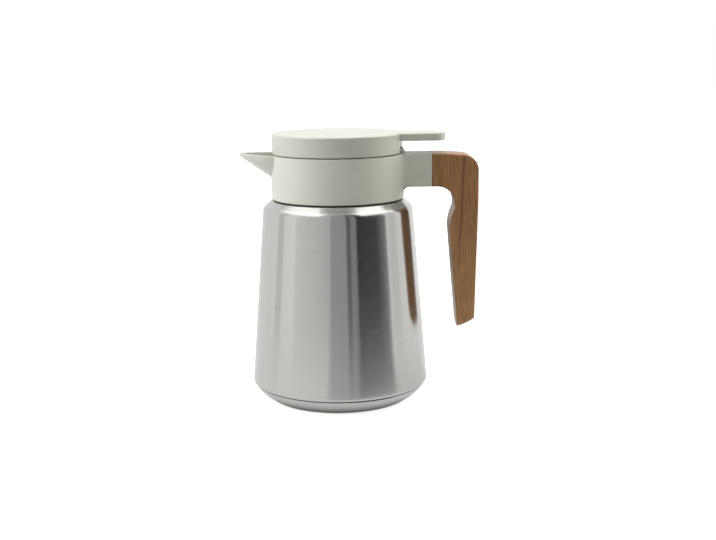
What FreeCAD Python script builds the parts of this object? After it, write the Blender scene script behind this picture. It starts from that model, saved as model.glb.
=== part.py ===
"""Insulated pitcher: steel vacuum body, screw-on pouring head, wooden handle and sprung lid.

Millimetres. The body axis is Z and the pitcher stands on z = 0.
The handle points along +X and the spout along -X.
"""
import FreeCAD
import Part
import math
import os

# Steel body
KNEE_R = 65.3
BODY_TAPER = 10.3
SHOULDER_Z = 143.2
KNEE_ROUND = 1.8
SHOULDER_ROUND = 6.0
SHOULDER_SLOPE = 40.0
SHELL_WALL = 0.8
LANDING_RISE = 5.1
NECK_INSET = 17.5
NECK_HEIGHT = 15.7
NECK_ROOT_ROUND = 2.5
LIP_DEPTH = 2.9

# Base
SEAM_Z = 11.4
SEAM_STEP = 1.3
SEAM_GAP = 0.5
BASE_INSET = 13.0
BASE_RISE = 0.5
BASE_BULGE = 1.24
BULGE_SHARE = 0.9
CAP_WALL = 0.8
SPIGOT_HEIGHT = 2.4
PAD_INSET = 6.0
PAD_THICK = 2.0
PAD_CLEARANCE = 0.3

# Inner flask and vacuum space
FLASK_WALL = 0.7
VACUUM_GAP = 4.2
NECK_VACUUM_GAP = 1.5
FLASK_BOTTOM_Z = 19.0
FLASK_BOTTOM_ROUND = 14.0
FLASK_BOTTOM_SKIRT = 4.0
WELD_GAP = 0.05
FLASK_SHOULDER_ROUND = 8.0
FLASK_SHOULDER_DROP = 6.5
FLASK_NECK_DROP = 2.3
FLASK_NECK_ROUND = 3.0
PLATE_WALL = 0.8
PLATE_STEP_INSET = 4.1
PLATE_STEP_RISE = 1.7
PLATE_FLANGE = 4.5
PLATE_CLEARANCE = 0.15
DIMPLE_R = 6.0
DIMPLE_RISE = 1.6
PUMP_HOLE_R = 1.0
SEAL_BEAD_R = 5.4
SEAL_BEAD_THICK = 1.0
SEAL_BEAD_CLEARANCE = 0.05
GETTER_R = 5.0
GETTER_THICK = 2.0
GETTER_OFFSET = 25.0

# Collar
COLLAR_REACH = 10.9
COLLAR_WALL = 2.6
COLLAR_GAP = 1.0
COLLAR_HEIGHT = 32.3
COLLAR_EDGE = 0.6
RIM_LEDGE = 1.2
RIM_THICK = 2.0
SNAP_BEAD = 0.6

# Spout
SPOUT_REACH = 22.5
SPOUT_HALF_WIDTH = 16.5
SPOUT_DEPTH = 16.8
SPOUT_BULGE = 2.0
SPOUT_TIP_HALF_WIDTH = 0.9
SPOUT_TIP_DEPTH = 1.3
SPOUT_RISE = 1.1
SPOUT_WALL = 1.7
SPOUT_ROOT_ROUND = 1.2
CHANNEL_STEP = 0.3
TROUGH_SECTIONS = 6

# Handle
BRACKET_LENGTH = 19.9
HANDLE_DEPTH = 26.0
BRACKET_HEIGHT = 23.9
BRACKET_ROOT_ROUND = 5.5
HANDLE_EDGE = 1.2
GRIP_WIDTH = 34.1
GRIP_FLAT = 9.7
GRIP_CROWN = 1.7
GRIP_CROWN_ROUND = 60.0
GRIP_TOP_ROUND = 11.5
GRIP_STRAIGHT = 36.0
GRIP_BACK_ROUND = 150.0
GRIP_TAPER = 2.4
GRIP_BACK_DROP = 122.2
GRIP_TIP_DROP = 130.2
GRIP_TIP_ROUND = 0.6
GRIP_END_ROUND = 11.0
GRIP_LEDGE = 3.9
THROAT_ROUND = 13.0
THROAT_TURN = 114.0
BELLY_ROUND = 30.0
ARC_SHARE = 0.999
GRIP_LEAN = 4.6

# Handle fasteners
SCREW_R = 2.0
SCREW_HEAD_R = 3.5
SCREW_HEAD = 3.2
SCREW_BOTTOM_RISE = 6.2
SCREW_SPACING = 10.0
SCREW_SEAT_DEPTH = 4.6
SCREW_CLEARANCE = 0.2
SEAT_CLEARANCE = 0.3
WASHER_R = 3.9
WASHER_THICK = 0.8
INSERT_R = 3.2
INSERT_LENGTH = 14.0
INSERT_INSET = 0.5
INSERT_CLEARANCE = 0.05
SCREW_TIP_INSET = 1.5

# Pour liner and neck gasket
LINER_WALL = 1.7
LINER_FLOOR = 2.0
LINER_CLEARANCE = 0.2
LINER_TOP_GAP = 0.2
LINER_BOTTOM_GAP = 1.7
SLEEVE_WALL = 2.2
SLEEVE_CLEARANCE = 0.4
GASKET_THICK = 1.5
GASKET_INSET = 0.3
GASKET_GAP = 0.05

# Lid
LID_STEP = 0.8
LID_GAP = 0.75
LID_HEIGHT = 14.25
LID_WALL = 2.2
LID_EDGE = 0.8
LID_BEAD = 0.6
LID_BEAD_HEIGHT = 0.7
LEVER_LENGTH = 31.3
LEVER_WIDTH = 30.0
LEVER_THICK = 5.4
LEVER_CORNER = 10.0
LEVER_END_BULGE = 1.2
LEVER_END_ROUND = 50.0
PLUG_INSET = 10.0
PLUG_WALL = 1.8
PLUG_TAPER = 0.7
PLUG_RISE = 1.0
PLUG_CLEARANCE = 0.2
PLUG_FLANGE = 2.0
SEAL_WIDTH = 2.8
SEAL_HEIGHT = 3.2
SEAL_GAP = 0.05
SEAL_EDGE = 0.7
FOAM_CLEARANCE = 0.3

# Hinge
HINGE_INSET = 2.1
HINGE_RISE = 1.3
EAR_R = 2.8
EAR_WIDTH = 4.8
EAR_SPAN = 28.0
LUG_R = 2.3
LUG_WIDTH = 3.6
LUG_CLEARANCE = 0.4
PIN_R = 1.25
PIN_INSET = 0.5
PIN_PRESS_CLEARANCE = 0.02
PIN_RUN_CLEARANCE = 0.06
NOTCH_CLEARANCE = 0.6
NOTCH_RISE = 1.3

# Lid spring
WIRE_R = 0.4
COIL_R = 2.0
COIL_CLEARANCE = 1.6
COIL_PITCH = 1.25
COIL_LEG = 3.0
COIL_LONG_LEG = 3.6

# Heights that follow from the sizes above
LIP_Z = SEAM_Z + SEAM_GAP
WELD_Z = FLASK_BOTTOM_Z + FLASK_BOTTOM_ROUND + FLASK_BOTTOM_SKIRT
LANDING_Z = SHOULDER_Z + LANDING_RISE
RIM_Z = LANDING_Z + NECK_HEIGHT
MOUTH_TOP = RIM_Z + FLASK_WALL
FLOOR_UNDER = MOUTH_TOP + GASKET_THICK
FLOOR_TOP = FLOOR_UNDER + LINER_FLOOR
COLLAR_BOTTOM = LANDING_Z + COLLAR_GAP
COLLAR_TOP = COLLAR_BOTTOM + COLLAR_HEIGHT
LID_BOTTOM = COLLAR_TOP + LID_GAP
LID_TOP = LID_BOTTOM + LID_HEIGHT
PLUG_BOTTOM = FLOOR_TOP + PLUG_RISE
FLANGE_Z = LID_BOTTOM + LID_BEAD_HEIGHT
FLANGE_TOP = FLANGE_Z + PLUG_FLANGE
HINGE_Z = COLLAR_TOP + HINGE_RISE
LEDGE_Z = COLLAR_TOP - RIM_THICK
BRACKET_UNDER = COLLAR_TOP - BRACKET_HEIGHT
POCKET_FLOOR = HINGE_Z - LUG_R - LUG_CLEARANCE

# Radii and places along X that follow from the sizes above
SHOULDER_R = KNEE_R - BODY_TAPER
NECK_R = SHOULDER_R - NECK_INSET
SEAM_R = KNEE_R - SEAM_STEP
BASE_R = SEAM_R - BASE_INSET
PAD_R = BASE_R - PAD_INSET
PLATE_STEP_R = KNEE_R - PLATE_STEP_INSET
COLLAR_R = NECK_R + COLLAR_REACH
LID_R = COLLAR_R - LID_STEP
PLUG_R = LID_R - PLUG_INSET
FLASK_NECK_R = NECK_R - SHELL_WALL - NECK_VACUUM_GAP
MOUTH_R = FLASK_NECK_R - FLASK_WALL
COLLAR_BORE = COLLAR_R - COLLAR_WALL
LINER_R = COLLAR_BORE - LINER_CLEARANCE
LINER_BORE = LINER_R - LINER_WALL
SLEEVE_BORE = NECK_R + SLEEVE_CLEARANCE
LID_BORE = LID_R - LID_WALL
HINGE_X = COLLAR_R - HINGE_INSET
BRACKET_END = COLLAR_R + BRACKET_LENGTH
SCREW_SEAT_X = COLLAR_R + SCREW_SEAT_DEPTH
SCREW_LOW_Z = BRACKET_UNDER + SCREW_BOTTOM_RISE
SCREW_HEIGHTS = (SCREW_LOW_Z, SCREW_LOW_Z + SCREW_SPACING)
EAR_INNER_Y = EAR_SPAN / 2 - EAR_WIDTH
LUG_OUTER_Y = EAR_INNER_Y - LUG_CLEARANCE
COIL_ROOM = 2 * (LUG_OUTER_Y - LUG_WIDTH - COIL_CLEARANCE - WIRE_R)
COIL_TURNS = int(COIL_ROOM / COIL_PITCH)
NOTCH_HALF = EAR_SPAN / 2 + NOTCH_CLEARANCE
NOTCH_TOP = HINGE_Z + EAR_R + NOTCH_RISE
NOTCH_FRONT = HINGE_X - COIL_R - WIRE_R - LUG_CLEARANCE
SPAN = 300.0

X_AXIS = FreeCAD.Vector(1, 0, 0)
Y_AXIS = FreeCAD.Vector(0, 1, 0)
Z_AXIS = FreeCAD.Vector(0, 0, 1)


def upright(a, b):
    """Point of an outline drawn in the XZ plane."""
    return FreeCAD.Vector(a, 0, b)


def flat(a, b):
    """Point of an outline drawn in the XY plane."""
    return FreeCAD.Vector(a, b, 0)


def unit(ax, ay, bx, by):
    """Unit direction from a to b."""
    length = math.hypot(bx - ax, by - ay)
    return (bx - ax) / length, (by - ay) / length


def outline_edges(corners, place, closed):
    """Lines through (a, b, radius) corners, each corner rounded by a tangent arc."""
    count = len(corners)
    stops = []
    for i, (a, b, radius) in enumerate(corners):
        at_end = not closed and i in (0, count - 1)
        if radius <= 0 or at_end:
            stops.append(((a, b), None, (a, b)))
            continue
        before = corners[i - 1]
        after = corners[(i + 1) % count]
        ux, uy = unit(a, b, before[0], before[1])
        vx, vy = unit(a, b, after[0], after[1])
        half = math.acos(max(-1.0, min(1.0, ux * vx + uy * vy))) / 2
        back = radius / math.tan(half)
        wx, wy = unit(0, 0, ux + vx, uy + vy)
        reach = radius / math.sin(half) - radius
        first = (a + ux * back, b + uy * back)
        middle = (a + wx * reach, b + wy * reach)
        last = (a + vx * back, b + vy * back)
        stops.append((first, middle, last))
    edges = []
    for i, (first, middle, last) in enumerate(stops):
        if middle is not None:
            edges.append(Part.Arc(place(*first), place(*middle), place(*last)).toShape())
        if i == count - 1 and not closed:
            break
        following = stops[(i + 1) % count][0]
        if math.hypot(following[0] - last[0], following[1] - last[1]) > 1e-6:
            edges.append(Part.makeLine(place(*last), place(*following)))
    return edges


def outline_face(corners, place):
    """Plane face inside a closed outline."""
    return Part.Face(Part.Wire(outline_edges(corners, place, True)))


def turned(corners):
    """Solid of revolution about Z from a closed (radius, height, round) outline."""
    return outline_face(corners, upright).revolve(FreeCAD.Vector(), Z_AXIS, 360)


def left_of(path, distance):
    """The same path moved to its left, with its rounds kept concentric."""
    directions = []
    for start, end in zip(path, path[1:]):
        directions.append(unit(start[0], start[1], end[0], end[1]))
    moved = []
    for i, (a, b, radius) in enumerate(path):
        ux, uy = directions[max(i - 1, 0)]
        vx, vy = directions[min(i, len(directions) - 1)]
        share = distance / (1 + ux * vx + uy * vy)
        turn = ux * vy - uy * vx
        if radius > 0:
            radius = radius - math.copysign(distance, turn)
        moved.append((a - (uy + vy) * share, b + (ux + vx) * share, max(radius, 0.0)))
    return moved


def turned_wall(path, wall):
    """Sheet of even thickness turned about Z, laid to the left of its path."""
    inner = left_of(path, wall)
    edges = outline_edges(path, upright, False)
    edges += outline_edges(inner, upright, False)
    edges.append(Part.makeLine(upright(*path[0][:2]), upright(*inner[0][:2])))
    edges.append(Part.makeLine(upright(*path[-1][:2]), upright(*inner[-1][:2])))
    wire = Part.Wire(Part.__sortEdges__(edges))
    return Part.Face(wire).revolve(FreeCAD.Vector(), Z_AXIS, 360)


def tube(inner, outer, low, high):
    """Plain ring about Z."""
    ring = Part.makeCylinder(outer, high - low, FreeCAD.Vector(0, 0, low))
    return ring.cut(Part.makeCylinder(inner, high - low, FreeCAD.Vector(0, 0, low)))


def block(x0, x1, half_width, z0, z1):
    """Box centred on the XZ plane."""
    corner = FreeCAD.Vector(x0, -half_width, z0)
    return Part.makeBox(x1 - x0, 2 * half_width, z1 - z0, corner)


def rod_x(radius, x0, x1, z):
    """Cylinder along X in the XZ plane."""
    return Part.makeCylinder(radius, x1 - x0, FreeCAD.Vector(x0, 0, z), X_AXIS)


def rod_y(radius, y0, y1):
    """Cylinder about the hinge axis."""
    return Part.makeCylinder(radius, y1 - y0, FreeCAD.Vector(HINGE_X, y0, HINGE_Z), Y_AXIS)


def cone_r(z):
    """Outside radius of the body cone at a height."""
    share = (z - LIP_Z) / (SHOULDER_Z - LIP_Z)
    return KNEE_R + (SHOULDER_R - KNEE_R) * share


def edges_where(shape, test):
    """Edges of a shape whose middle point passes a test."""
    chosen = []
    for edge in shape.Edges:
        if edge.Length < 1e-6:
            continue
        if test(edge.valueAt((edge.FirstParameter + edge.LastParameter) / 2), edge):
            chosen.append(edge)
    return chosen


def outer_shell():
    """Brushed cone, shoulder and neck."""
    run = (LANDING_Z - SHOULDER_Z) / math.tan(math.radians(SHOULDER_SLOPE))
    path = [
        (KNEE_R - LIP_DEPTH, LIP_Z, 0),
        (KNEE_R, LIP_Z, KNEE_ROUND),
        (SHOULDER_R, SHOULDER_Z, SHOULDER_ROUND),
        (SHOULDER_R - run, LANDING_Z, SHELL_WALL * 2),
        (NECK_R, LANDING_Z, NECK_ROOT_ROUND),
        (NECK_R, RIM_Z, 0),
    ]
    return turned_wall(path, SHELL_WALL)


def flask_r(z):
    """Outside radius of the flask side at a height."""
    return cone_r(z) - SHELL_WALL - VACUUM_GAP


def inner_flask():
    """Side, shoulder and neck of the liquid vessel, with the flange that meets the neck of the shell."""
    low_z = WELD_Z + WELD_GAP
    shoulder_z = LANDING_Z - FLASK_SHOULDER_DROP
    path = [
        (flask_r(low_z), low_z, 0),
        (flask_r(shoulder_z), shoulder_z, FLASK_SHOULDER_ROUND),
        (FLASK_NECK_R, LANDING_Z - FLASK_NECK_DROP, FLASK_NECK_ROUND),
        (FLASK_NECK_R, RIM_Z, 0),
        (NECK_R, RIM_Z, 0),
    ]
    return turned_wall(path, FLASK_WALL)


def flask_bottom():
    """Dished end welded into the side of the flask."""
    path = [
        (0, FLASK_BOTTOM_Z, 0),
        (flask_r(FLASK_BOTTOM_Z), FLASK_BOTTOM_Z, FLASK_BOTTOM_ROUND),
        (flask_r(WELD_Z), WELD_Z, 0),
    ]
    return turned_wall(path, FLASK_WALL)


def bottom_plate():
    """Plate that closes the vacuum space, with a dimple round the pumping hole."""
    rim_z = LIP_Z + SHELL_WALL
    flat_z = rim_z + PLATE_STEP_RISE
    high_z = rim_z + PLATE_FLANGE
    inset = SHELL_WALL + PLATE_CLEARANCE
    path = [
        (PUMP_HOLE_R, flat_z + DIMPLE_RISE, 0),
        (DIMPLE_R, flat_z + DIMPLE_RISE, 0),
        (DIMPLE_R + DIMPLE_RISE, flat_z, 0),
        (PLATE_STEP_R - PLATE_STEP_RISE / 2, flat_z, 0),
        (PLATE_STEP_R, rim_z, 0),
        (cone_r(rim_z) - inset, rim_z, KNEE_ROUND),
        (cone_r(high_z) - inset, high_z, 0),
    ]
    return turned_wall(path, PLATE_WALL)


def vacuum_seal():
    """Bead in the dimple, with a stub in the pumping hole."""
    under = LIP_Z + SHELL_WALL + PLATE_STEP_RISE + DIMPLE_RISE
    bead = Part.makeCylinder(SEAL_BEAD_R, SEAL_BEAD_THICK, FreeCAD.Vector(0, 0, under - SEAL_BEAD_THICK))
    stub_r = PUMP_HOLE_R - SEAL_BEAD_CLEARANCE
    return bead.fuse(Part.makeCylinder(stub_r, PLATE_WALL, FreeCAD.Vector(0, 0, under)))


def getter():
    """Pellet on the vacuum side of the bottom plate."""
    seat = LIP_Z + SHELL_WALL + PLATE_STEP_RISE + PLATE_WALL
    return Part.makeCylinder(GETTER_R, GETTER_THICK, FreeCAD.Vector(GETTER_OFFSET, 0, seat))


def base_cap():
    """Dish under the shell, with a recess for the pad and a spigot into the bottom plate."""
    middle = ((BASE_R + SEAM_R) / 2, (BASE_RISE + SEAM_Z) / 2)
    ux, uy = unit(BASE_R, BASE_RISE, SEAM_R, SEAM_Z)
    belly = (middle[0] + uy * 2 * BASE_BULGE, middle[1] - ux * 2 * BASE_BULGE)
    side = math.hypot(belly[0] - BASE_R, belly[1] - BASE_RISE)
    half_turn = math.asin(2 * BASE_BULGE / side)
    belly_round = BULGE_SHARE * side / math.tan(half_turn)
    recess = PAD_R + PAD_CLEARANCE
    spigot = PLATE_STEP_R - PLATE_STEP_RISE / 2 - PAD_CLEARANCE
    path = [
        (0, PAD_THICK, 0),
        (recess, PAD_THICK, 0),
        (recess, BASE_RISE, 0),
        (BASE_R, BASE_RISE, 0),
        (belly[0], belly[1], belly_round),
        (SEAM_R, SEAM_Z, 0),
        (spigot, SEAM_Z, 0),
    ]
    dish = turned_wall(path, CAP_WALL)
    low = SEAM_Z - CAP_WALL
    return dish.fuse(tube(spigot - CAP_WALL, spigot, low, SEAM_Z + SPIGOT_HEIGHT)).removeSplitter()


def base_pad():
    """Silicone disc that the pitcher stands on."""
    return Part.makeCylinder(PAD_R, PAD_THICK)


def neck_gasket():
    """Ring between the mouth of the flask and the liner floor."""
    low = MOUTH_TOP + GASKET_GAP
    high = FLOOR_UNDER - GASKET_GAP
    return tube(MOUTH_R + GASKET_INSET, NECK_R - GASKET_INSET, low, high)


def trough_section(x, half_width, depth):
    """Closed U across X: the lower half of an ellipse, with straight sides up past the collar top."""
    centre = FreeCAD.Vector(x, 0, COLLAR_TOP)
    side = FreeCAD.Vector(x, half_width, COLLAR_TOP)
    keel = FreeCAD.Vector(x, 0, COLLAR_TOP - depth)
    if depth >= half_width:
        arc = Part.ArcOfEllipse(Part.Ellipse(keel, side, centre), -math.pi / 2, math.pi / 2)
    else:
        arc = Part.ArcOfEllipse(Part.Ellipse(side, centre * 2 - keel, centre), math.pi, 2 * math.pi)
    curve = arc.toShape()
    rise = FreeCAD.Vector(0, 0, LID_HEIGHT / 2)
    first = curve.valueAt(curve.FirstParameter)
    last = curve.valueAt(curve.LastParameter)
    right = Part.makeLine(last, last + rise)
    closing = Part.makeLine(last + rise, first + rise)
    left = Part.makeLine(first + rise, first)
    return Part.Wire([curve, right, closing, left])


def bulged(root, tip, share):
    """Half width part of the way along the spout, fuller than a straight taper."""
    return root + (tip - root) * share + 4 * SPOUT_BULGE * share * (1 - share)


def trough(x_root, root, x_tip, tip):
    """Pointed taper between two (half width, depth) sections, carried on into the collar."""
    x_in = -COLLAR_BORE + 3 * COLLAR_WALL
    start = (x_root - x_in) / (x_root - x_tip)
    wires = []
    for i in range(TROUGH_SECTIONS):
        share = start + (1 - start) * i / (TROUGH_SECTIONS - 1)
        wide = bulged(root[0], tip[0], share)
        deep = root[1] + (tip[1] - root[1]) * share
        wires.append(trough_section(x_root + (x_tip - x_root) * share, wide, deep))
    return Part.makeLoft(wires, True)


def spout_body():
    """Outside of the spout."""
    root = (SPOUT_HALF_WIDTH, SPOUT_DEPTH)
    tip = (SPOUT_TIP_HALF_WIDTH, SPOUT_TIP_DEPTH)
    return trough(-COLLAR_R, root, -COLLAR_R - SPOUT_REACH, tip)


def spout_channel():
    """Space that the drink runs through, from the liner floor to the tip."""
    wide = bulged(SPOUT_HALF_WIDTH, SPOUT_TIP_HALF_WIDTH, -COLLAR_WALL / SPOUT_REACH) - SPOUT_WALL
    deep = COLLAR_TOP - FLOOR_TOP - CHANNEL_STEP
    tip = (SPOUT_TIP_HALF_WIDTH / 3, SPOUT_TIP_DEPTH / 3)
    return trough(-COLLAR_BORE, (wide, deep), -COLLAR_R - SPOUT_REACH + SPOUT_WALL / 2, tip)


def over_collar(over):
    """Space above the collar's top, whose floor rises along the spout to its tip."""
    high = COLLAR_TOP + over + 1
    tip = -COLLAR_R - SPOUT_REACH
    corners = [
        (-SPAN, COLLAR_TOP + SPOUT_RISE, 0),
        (tip, COLLAR_TOP + SPOUT_RISE, 0),
        (-COLLAR_R, COLLAR_TOP, 0),
        (SPAN, COLLAR_TOP, 0),
        (SPAN, high, 0),
        (-SPAN, high, 0),
    ]
    face = outline_face(corners, upright)
    face.translate(FreeCAD.Vector(0, -SPAN, 0))
    return face.extrude(FreeCAD.Vector(0, 2 * SPAN, 0))


def collar():
    """Ring, spout, bracket and hinge ears in one moulding."""
    over = LID_HEIGHT
    ring = Part.makeCylinder(COLLAR_R, COLLAR_HEIGHT + over, FreeCAD.Vector(0, 0, COLLAR_BOTTOM))
    bar = block(0, BRACKET_END, HANDLE_DEPTH / 2, BRACKET_UNDER, COLLAR_TOP)
    long_edges = edges_where(bar, lambda p, e: abs(p.x - BRACKET_END / 2) < 1e-3)
    bar = bar.makeFillet(HANDLE_EDGE, long_edges)
    body = ring.fuse(bar).removeSplitter()

    def at_root(p, e):
        near = abs(math.hypot(p.x, p.y) - COLLAR_R) < 1e-3
        return near and p.x > 0 and abs(p.y) <= HANDLE_DEPTH / 2 and BRACKET_UNDER - 1 < p.z < COLLAR_TOP + 1

    body = body.makeFillet(BRACKET_ROOT_ROUND, edges_where(body, at_root))
    body = body.fuse(spout_body()).removeSplitter()

    def under_spout(p, e):
        near = abs(math.hypot(p.x, p.y) - COLLAR_R) < 1e-3
        return near and p.x < 0 and COLLAR_BOTTOM + 1 < p.z < COLLAR_TOP - 1e-3 and e.Length > 2

    body = body.makeFillet(SPOUT_ROOT_ROUND, edges_where(body, under_spout))
    body = body.cut(over_collar(over))
    foot = edges_where(body, lambda p, e: abs(p.z - COLLAR_BOTTOM) < 1e-3)
    body = body.makeFillet(COLLAR_EDGE, foot)
    rim = COLLAR_BORE - RIM_LEDGE
    bead = COLLAR_BORE - SNAP_BEAD
    space = [
        (0, COLLAR_BOTTOM - 1, 0),
        (bead, COLLAR_BOTTOM - 1, 0),
        (bead, LANDING_Z + LINER_BOTTOM_GAP - LINER_TOP_GAP / 2, 0),
        (COLLAR_BORE, LANDING_Z + LINER_BOTTOM_GAP - LINER_TOP_GAP / 2, 0),
        (COLLAR_BORE, LEDGE_Z, 0),
        (rim, LEDGE_Z, 0),
        (rim, COLLAR_TOP + 1, 0),
        (0, COLLAR_TOP + 1, 0),
    ]
    body = body.cut(turned(space)).cut(spout_channel())
    for side in (-1, 1):
        low, high = sorted((side * EAR_INNER_Y, side * EAR_SPAN / 2))
        ear = rod_y(EAR_R, low, high)
        foot_corner = FreeCAD.Vector(HINGE_X - EAR_R, low, LEDGE_Z)
        ear = ear.fuse(Part.makeBox(2 * EAR_R, high - low, HINGE_Z - LEDGE_Z, foot_corner))
        body = body.fuse(ear)
    pocket = block(0, HINGE_X + EAR_R + LUG_CLEARANCE, EAR_INNER_Y, POCKET_FLOOR, LID_TOP)
    body = body.cut(pocket).cut(rod_y(PIN_R + PIN_PRESS_CLEARANCE, -EAR_SPAN, EAR_SPAN))
    for z in SCREW_HEIGHTS:
        body = body.cut(rod_x(SCREW_R + SCREW_CLEARANCE, 0, BRACKET_END + 1, z))
        body = body.cut(rod_x(WASHER_R + SEAT_CLEARANCE, 0, SCREW_SEAT_X, z))
    return body.removeSplitter()


def pour_liner():
    """Inner wall and pouring floor of the head, with the sleeve that goes over the neck."""
    low = LANDING_Z + LINER_BOTTOM_GAP
    high = LEDGE_Z - LINER_TOP_GAP
    sleeve = SLEEVE_BORE + SLEEVE_WALL
    section = [
        (MOUTH_R, FLOOR_UNDER, 0),
        (SLEEVE_BORE, FLOOR_UNDER, 0),
        (SLEEVE_BORE, low, 0),
        (sleeve, low, 0),
        (sleeve, FLOOR_UNDER, 0),
        (LINER_BORE, FLOOR_UNDER, 0),
        (LINER_BORE, low, 0),
        (LINER_R, low, 0),
        (LINER_R, high, 0),
        (LINER_BORE, high, 0),
        (LINER_BORE, FLOOR_TOP, LINER_FLOOR),
        (MOUTH_R, FLOOR_TOP, 0),
    ]
    opening = spout_channel().common(block(-SPAN, 0, SPAN, FLOOR_TOP + CHANNEL_STEP, LID_TOP))
    return turned(section).cut(opening)


def handle_grip():
    """Wooden grip, an upside-down L with a finger throat under its bar."""
    back = BRACKET_END + GRIP_WIDTH
    heading = math.radians(-THROAT_TURN)
    lean = math.radians(GRIP_LEAN - 90)
    throat_back = THROAT_ROUND * math.tan(math.radians(THROAT_TURN) / 2)
    belly_back = BELLY_ROUND * math.tan((lean - heading) / 2)
    ax = BRACKET_END + GRIP_LEDGE + throat_back
    bx = ax + (throat_back + belly_back) * math.cos(heading)
    bz = BRACKET_UNDER + (throat_back + belly_back) * math.sin(heading)
    tip_z = COLLAR_TOP - GRIP_TIP_DROP
    tip_x = bx + (bz - tip_z) * math.tan(math.radians(GRIP_LEAN))
    corners = [
        (BRACKET_END, COLLAR_TOP, 0),
        (BRACKET_END + GRIP_FLAT, COLLAR_TOP, GRIP_CROWN_ROUND),
        (back, COLLAR_TOP - GRIP_CROWN, GRIP_TOP_ROUND),
        (back, COLLAR_TOP - GRIP_STRAIGHT, GRIP_BACK_ROUND),
        (back - GRIP_TAPER, COLLAR_TOP - GRIP_BACK_DROP, GRIP_TIP_ROUND),
        (tip_x, tip_z, GRIP_TIP_ROUND),
        (bx, bz, BELLY_ROUND * ARC_SHARE),
        (ax, BRACKET_UNDER, THROAT_ROUND * ARC_SHARE),
        (BRACKET_END, BRACKET_UNDER, 0),
    ]
    face = outline_face(corners, upright)
    face.translate(FreeCAD.Vector(0, -HANDLE_DEPTH / 2, 0))
    grip = face.extrude(FreeCAD.Vector(0, HANDLE_DEPTH, 0))

    def along_outline(p, e):
        return abs(abs(p.y) - HANDLE_DEPTH / 2) < 1e-3 and p.x > BRACKET_END + 1e-3

    grip = grip.makeFillet(HANDLE_EDGE, edges_where(grip, along_outline))
    inner_y = HANDLE_DEPTH / 2 - GRIP_END_ROUND
    round_z = tip_z + GRIP_END_ROUND
    for side in (-1, 1):
        core = Part.makeCylinder(GRIP_END_ROUND, SPAN, FreeCAD.Vector(0, side * inner_y, round_z), X_AXIS)
        low, high = sorted((side * inner_y, side * HANDLE_DEPTH))
        corner = Part.makeBox(SPAN, high - low, GRIP_TIP_DROP, FreeCAD.Vector(0, low, round_z - GRIP_TIP_DROP))
        grip = grip.cut(corner.cut(core))
    depth = BRACKET_END + INSERT_INSET + INSERT_LENGTH
    for z in SCREW_HEIGHTS:
        grip = grip.cut(rod_x(INSERT_R + INSERT_CLEARANCE, BRACKET_END - 1, depth, z))
    return grip


def handle_inserts():
    """Brass sleeves in the grip."""
    x0 = BRACKET_END + INSERT_INSET
    sleeves = []
    for z in SCREW_HEIGHTS:
        sleeve = rod_x(INSERT_R, x0, x0 + INSERT_LENGTH, z)
        sleeves.append(sleeve.cut(rod_x(SCREW_R + INSERT_CLEARANCE, x0, x0 + INSERT_LENGTH, z)))
    return Part.makeCompound(sleeves)


def handle_washers():
    """Washers on the screw seats inside the collar."""
    rings = []
    for z in SCREW_HEIGHTS:
        ring = rod_x(WASHER_R, SCREW_SEAT_X - WASHER_THICK, SCREW_SEAT_X, z)
        rings.append(ring.cut(rod_x(SCREW_R + SCREW_CLEARANCE, 0, BRACKET_END, z)))
    return Part.makeCompound(rings)


def handle_screws():
    """Screws from inside the collar, with their heads on the washers."""
    seat = SCREW_SEAT_X - WASHER_THICK
    tip = BRACKET_END + INSERT_INSET + INSERT_LENGTH - SCREW_TIP_INSET
    screws = []
    for z in SCREW_HEIGHTS:
        head = rod_x(SCREW_HEAD_R, seat - SCREW_HEAD, seat, z)
        key = Part.makeBox(SCREW_HEAD / 2, SCREW_R, SCREW_R)
        key.translate(FreeCAD.Vector(seat - SCREW_HEAD, -SCREW_R / 2, z - SCREW_R / 2))
        screws.append(head.fuse(rod_x(SCREW_R, seat, tip, z)).cut(key))
    return Part.makeCompound(screws)


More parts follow.
